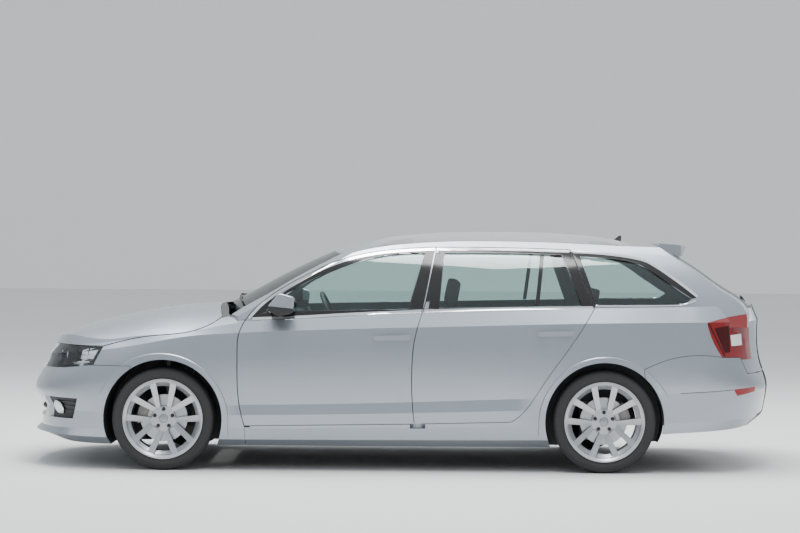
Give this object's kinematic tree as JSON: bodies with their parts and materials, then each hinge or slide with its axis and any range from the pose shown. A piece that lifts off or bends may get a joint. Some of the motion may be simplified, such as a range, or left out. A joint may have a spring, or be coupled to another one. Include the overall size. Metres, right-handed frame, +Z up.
{
  "type": "station wagon car",
  "caption": "Five-door station wagon with opening doors, bonnet and tailgate, steered front wheels and free-rolling wheels.",
  "frame": {"origin": "on the ground under the middle of the car", "axes": "the nose points to -X, the left side to -Y, +Z is up"},
  "size_m": [4.6634, 2.006, 1.464],
  "materials": {
    "body_paint": "metallic silver lacquer",
    "tinted_glass": "green tinted, clear polished",
    "lamp_clear": "clear polished",
    "lamp_red": "red translucent",
    "black_plastic": "fine grained",
    "rail_alloy": "satin anodised",
    "seat_cloth": "woven",
    "primed_steel": "satin sealed",
    "engine_alloy": "rough cast",
    "bare_steel": "dull",
    "wheel_alloy": "machined and lacquered",
    "tyre_rubber": "matte"
  },
  "bodies": {
    "body": {"antenna": "black_plastic", "body_sides": "body_paint", "cowl": "black_plastic", "dashboard": "black_plastic", "diffuser": "black_plastic", "engine_block": "engine_alloy", "exhaust": "bare_steel", "fenders": "body_paint", "fixed_glass": "tinted_glass", "floor_pan": "primed_steel", "front_bumper": "body_paint", "front_seats": "seat_cloth", "front_structure": "primed_steel", "headlamps": "lamp_clear", "lower_grilles": "black_plastic", "rear_bench": "seat_cloth", "rear_bumper": "body_paint", "roof": "body_paint", "roof_rails": "rail_alloy", "suspension": "bare_steel", "tail_lamps": "lamp_red", "upper_grille": "black_plastic", "wipers": "black_plastic"},
    "front_door_left": {"front_door_left": "body_paint", "front_door_glass_left": "tinted_glass", "mirror_left": "body_paint"},
    "front_door_right": {"front_door_right": "body_paint", "front_door_glass_right": "tinted_glass", "mirror_right": "body_paint"},
    "rear_door_left": {"rear_door_left": "body_paint", "rear_door_glass_left": "tinted_glass"},
    "rear_door_right": {"rear_door_right": "body_paint", "rear_door_glass_right": "tinted_glass"},
    "bonnet": {"bonnet": "body_paint"},
    "tailgate": {"tailgate": "body_paint", "tailgate_glass": "tinted_glass", "spoiler": "body_paint"},
    "steering_wheel": {"steering_wheel": "black_plastic"},
    "knuckle_left": {"front_knuckle_left": "bare_steel"},
    "knuckle_right": {"front_knuckle_right": "bare_steel"},
    "front_wheel_left": {"front_rim_left": "wheel_alloy", "front_tyre_left": "tyre_rubber"},
    "front_wheel_right": {"front_rim_right": "wheel_alloy", "front_tyre_right": "tyre_rubber"},
    "rear_wheel_left": {"rear_rim_left": "wheel_alloy", "rear_tyre_left": "tyre_rubber"},
    "rear_wheel_right": {"rear_rim_right": "wheel_alloy", "rear_tyre_right": "tyre_rubber"}
  },
  "joints": [
    {"name": "front_door_left_hinge", "type": "hinge", "parent": "body", "child": "front_door_left", "pos_m": [-0.96, -0.898, 0.6], "axis": [0, 0, -1], "range_deg": [0, 65]},
    {"name": "front_door_right_hinge", "type": "hinge", "parent": "body", "child": "front_door_right", "pos_m": [-0.96, 0.898, 0.6], "axis": [0, 0, 1], "range_deg": [0, 65]},
    {"name": "rear_door_left_hinge", "type": "hinge", "parent": "body", "child": "rear_door_left", "pos_m": [0.105, -0.898, 0.6], "axis": [0, 0, -1], "range_deg": [0, 65]},
    {"name": "rear_door_right_hinge", "type": "hinge", "parent": "body", "child": "rear_door_right", "pos_m": [0.105, 0.898, 0.6], "axis": [0, 0, 1], "range_deg": [0, 65]},
    {"name": "bonnet_hinge", "type": "hinge", "parent": "body", "child": "bonnet", "pos_m": [-1.092, 0, 1.004], "axis": [0, 1, 0], "range_deg": [0, 50]},
    {"name": "tailgate_hinge", "type": "hinge", "parent": "body", "child": "tailgate", "pos_m": [1.597, 0, 1.402], "axis": [0, -1, 0], "range_deg": [0, 78]},
    {"name": "steering_left", "type": "hinge", "parent": "body", "child": "knuckle_left", "pos_m": [-1.446, -0.743, 0.312], "axis": [0, 0, 1], "range_deg": [-30, 30]},
    {"name": "steering_right", "type": "hinge", "parent": "body", "child": "knuckle_right", "pos_m": [-1.446, 0.743, 0.312], "axis": [0, 0, 1], "range_deg": [-30, 30]},
    {"name": "steering_wheel_turn", "type": "hinge", "parent": "body", "child": "steering_wheel", "pos_m": [-0.43, -0.37, 0.905], "axis": [0.9135, 0, 0.4067], "range_deg": [-450, 450]},
    {"name": "front_wheel_left_spin", "type": "hinge", "parent": "knuckle_left", "child": "front_wheel_left", "pos_m": [-1.446, -0.773, 0.312], "axis": [0, 1, 0], "continuous": true},
    {"name": "rear_wheel_left_spin", "type": "hinge", "parent": "body", "child": "rear_wheel_left", "pos_m": [1.24, -0.773, 0.312], "axis": [0, 1, 0], "continuous": true},
    {"name": "front_wheel_right_spin", "type": "hinge", "parent": "knuckle_right", "child": "front_wheel_right", "pos_m": [-1.446, 0.773, 0.312], "axis": [0, 1, 0], "continuous": true},
    {"name": "rear_wheel_right_spin", "type": "hinge", "parent": "body", "child": "rear_wheel_right", "pos_m": [1.24, 0.773, 0.312], "axis": [0, 1, 0], "continuous": true}
  ],
  "couplings": [
    {"joint": "steering_right", "follows": "steering_left", "ratio": 1},
    {"joint": "steering_wheel_turn", "follows": "steering_left", "ratio": 15}
  ]
}
